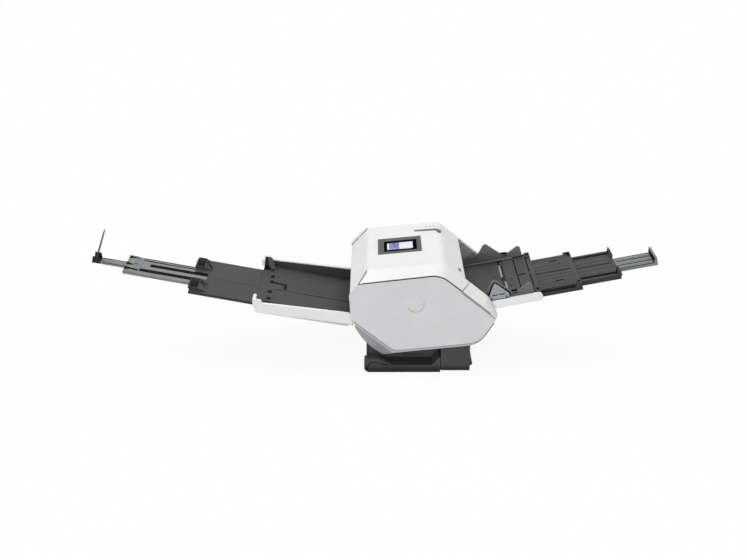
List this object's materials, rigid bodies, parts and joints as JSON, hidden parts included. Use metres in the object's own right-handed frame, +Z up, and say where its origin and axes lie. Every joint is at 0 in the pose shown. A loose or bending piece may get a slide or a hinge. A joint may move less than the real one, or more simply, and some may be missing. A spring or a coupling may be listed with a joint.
{
  "type": "document scanner",
  "caption": "Sheet-fed document scanner with a hinged cover, tilted feed and output trays with pull-out extensions, side guides and a cradle base.",
  "frame": {"origin": "centre of the base's underside, on the surface the scanner stands on", "axes": "+X along the paper path towards the feed tray, +Y away from the operator's side, +Z up"},
  "size_m": [1.5792, 0.444, 0.3399],
  "materials": {
    "cover_white": "fine-grained moulded plastic",
    "panel_light": "smooth satin moulded plastic",
    "base_dark": "fine-textured moulded plastic",
    "tray_grey": "satin moulded plastic",
    "extension_mid": "satin moulded plastic",
    "display_surround": "satin surround",
    "steel": "zinc-plated sheet and ground bar",
    "rubber": "matt rubber",
    "scan_glass": "polished",
    "display_glass": "polished black",
    "circuit_board": "solder mask over fibre board",
    "painted_sheet": "baked paint on folded sheet"
  },
  "bodies": {
    "base": {"base_cradle": "base_dark", "base_plate": "painted_sheet", "base_pads": "rubber", "bottom_cover": "tray_grey", "near_housing": "cover_white", "far_housing": "cover_white", "near_side_panel": "panel_light", "far_side_panel": "panel_light", "near_side_plate": "steel", "far_side_plate": "steel", "case_screws": "steel", "cover_hinge_pins": "steel", "exit_cover": "tray_grey", "lower_guide": "tray_grey", "lower_glass": "scan_glass", "lower_camera": "base_dark", "main_motor": "steel", "drive_belt": "rubber", "power_supply": "steel", "control_board": "circuit_board", "power_inlet": "base_dark", "lift_motor": "steel", "stacker_pins": "steel"},
    "cover": {"top_cover": "cover_white", "display_bezel": "display_surround", "touch_glass": "display_glass", "upper_guide": "tray_grey", "upper_glass": "scan_glass", "upper_camera": "base_dark"},
    "cover_button": {"cover_button": "panel_light"},
    "motor_pulley": {"motor_pulley": "steel"},
    "feed_roller": {"feed_shaft": "steel", "feed_tyres": "rubber"},
    "transport_roller": {"transport_shaft": "steel", "transport_tyres": "rubber"},
    "exit_roller": {"exit_shaft": "steel", "exit_tyres": "rubber"},
    "pick_roller": {"pick_shaft": "steel", "pick_tyres": "rubber"},
    "separation_roller": {"separation_shaft": "steel", "separation_tyres": "rubber"},
    "transport_idler": {"transport_idler": "steel"},
    "exit_idler": {"exit_idler": "steel"},
    "power_switch": {"power_switch": "base_dark"},
    "stacker": {"stacker_tray": "tray_grey", "stacker_rims": "cover_white"},
    "stacker_extension_1": {"stacker_extension_1": "tray_grey"},
    "stacker_extension_2": {"stacker_extension_2": "extension_mid"},
    "stacker_extension_3": {"stacker_extension_3": "extension_mid"},
    "stopper": {"stopper": "base_dark"},
    "lift_screw": {"lift_screw": "steel"},
    "hopper": {"hopper_table": "tray_grey", "hopper_trims": "cover_white"},
    "near_guide": {"near_guide": "tray_grey"},
    "far_guide": {"far_guide": "tray_grey"},
    "guide_lever": {"guide_lever": "extension_mid"},
    "hopper_extension_1": {"hopper_extension_1": "tray_grey"},
    "hopper_extension_2": {"hopper_extension_2": "tray_grey"},
    "hopper_extension_3": {"hopper_extension_3": "extension_mid"}
  },
  "joints": [
    {"name": "cover_hinge", "type": "hinge", "parent": "base", "child": "cover", "pos_m": [-0.166, 0, 0.237], "axis": [0, -1, 0], "range_deg": [0, 60]},
    {"name": "cover_button_press", "type": "slide", "parent": "cover", "child": "cover_button", "axis": [-0.6255, 0, -0.7802], "range_m": [0, 0.002], "stiffness_N_per_m": 300, "springref_m": -0.0005},
    {"name": "motor_spin", "type": "hinge", "parent": "base", "child": "motor_pulley", "pos_m": [-0.04, 0, 0.128], "axis": [0, 1, 0], "continuous": true},
    {"name": "feed_spin", "type": "hinge", "parent": "base", "child": "feed_roller", "pos_m": [0.05928, 0, 0.21362], "axis": [0, 1, 0], "continuous": true},
    {"name": "transport_spin", "type": "hinge", "parent": "base", "child": "transport_roller", "pos_m": [0.00328, 0, 0.20773], "axis": [0, 1, 0], "continuous": true},
    {"name": "exit_spin", "type": "hinge", "parent": "base", "child": "exit_roller", "pos_m": [-0.12873, 0, 0.19386], "axis": [0, 1, 0], "continuous": true},
    {"name": "pick_spin", "type": "hinge", "parent": "cover", "child": "pick_roller", "pos_m": [0.104, 0, 0.25], "axis": [0, 1, 0], "continuous": true},
    {"name": "separation_spin", "type": "hinge", "parent": "cover", "child": "separation_roller", "pos_m": [0.05674, 0, 0.23778], "axis": [0, 1, 0], "continuous": true},
    {"name": "transport_idler_spin", "type": "hinge", "parent": "cover", "child": "transport_idler", "pos_m": [0.00094, 0, 0.22991], "axis": [0, 1, 0], "continuous": true},
    {"name": "exit_idler_spin", "type": "hinge", "parent": "cover", "child": "exit_idler", "pos_m": [-0.13106, 0, 0.21604], "axis": [0, 1, 0], "continuous": true},
    {"name": "power_switch_rock", "type": "hinge", "parent": "base", "child": "power_switch", "pos_m": [0.112, 0.217, 0.128], "axis": [-1, 0, 0], "range_deg": [0, 14]},
    {"name": "stacker_hinge", "type": "hinge", "parent": "base", "child": "stacker", "pos_m": [-0.176, 0, 0.143], "axis": [0, 1, 0], "range_deg": [0, 50]},
    {"name": "stacker_slide_1", "type": "slide", "parent": "stacker", "child": "stacker_extension_1", "axis": [0.9829, 0, -0.184], "range_m": [0, 0.138]},
    {"name": "stacker_slide_2", "type": "slide", "parent": "stacker_extension_1", "child": "stacker_extension_2", "axis": [0.9829, 0, -0.184], "range_m": [0, 0.13]},
    {"name": "stacker_slide_3", "type": "slide", "parent": "stacker_extension_2", "child": "stacker_extension_3", "axis": [0.9829, 0, -0.184], "range_m": [0, 0.058]},
    {"name": "stopper_fold", "type": "hinge", "parent": "stacker_extension_3", "child": "stopper", "pos_m": [-0.89692, 0, 0.26469], "axis": [0, -1, 0], "range_deg": [0, 72]},
    {"name": "lift_screw_spin", "type": "hinge", "parent": "base", "child": "lift_screw", "pos_m": [0.074, 0, 0.1], "axis": [0, 0, 1], "range_deg": [0, 1080]},
    {"name": "hopper_lift", "type": "slide", "parent": "base", "child": "hopper", "axis": [0, 0, 1], "range_m": [0, 0.06]},
    {"name": "near_guide_slide", "type": "slide", "parent": "hopper", "child": "near_guide", "axis": [0, 1, 0], "range_m": [0, 0.1]},
    {"name": "far_guide_slide", "type": "slide", "parent": "hopper", "child": "far_guide", "axis": [0, -1, 0], "range_m": [0, 0.1]},
    {"name": "guide_lever_squeeze", "type": "hinge", "parent": "near_guide", "child": "guide_lever", "pos_m": [0.21924, -0.159, 0.19901], "axis": [-0.9816, 0, -0.1908], "range_deg": [0, 3], "stiffness_Nm_per_rad": 0.5, "springref_deg": -2.86},
    {"name": "hopper_slide_1", "type": "slide", "parent": "hopper", "child": "hopper_extension_1", "axis": [-0.9816, 0, -0.1908], "range_m": [0, 0.1]},
    {"name": "hopper_slide_2", "type": "slide", "parent": "hopper_extension_1", "child": "hopper_extension_2", "axis": [-0.9816, 0, -0.1908], "range_m": [0, 0.098]},
    {"name": "hopper_slide_3", "type": "slide", "parent": "hopper_extension_2", "child": "hopper_extension_3", "axis": [-0.9816, 0, -0.1908], "range_m": [0, 0.098]}
  ],
  "couplings": [
    {"joint": "feed_spin", "follows": "motor_spin", "ratio": 1},
    {"joint": "transport_spin", "follows": "motor_spin", "ratio": 1},
    {"joint": "exit_spin", "follows": "motor_spin", "ratio": 1},
    {"joint": "near_guide_slide", "follows": "far_guide_slide", "ratio": 1},
    {"joint": "lift_screw_spin", "follows": "hopper_lift", "rad_per_m": 314.16}
  ]
}
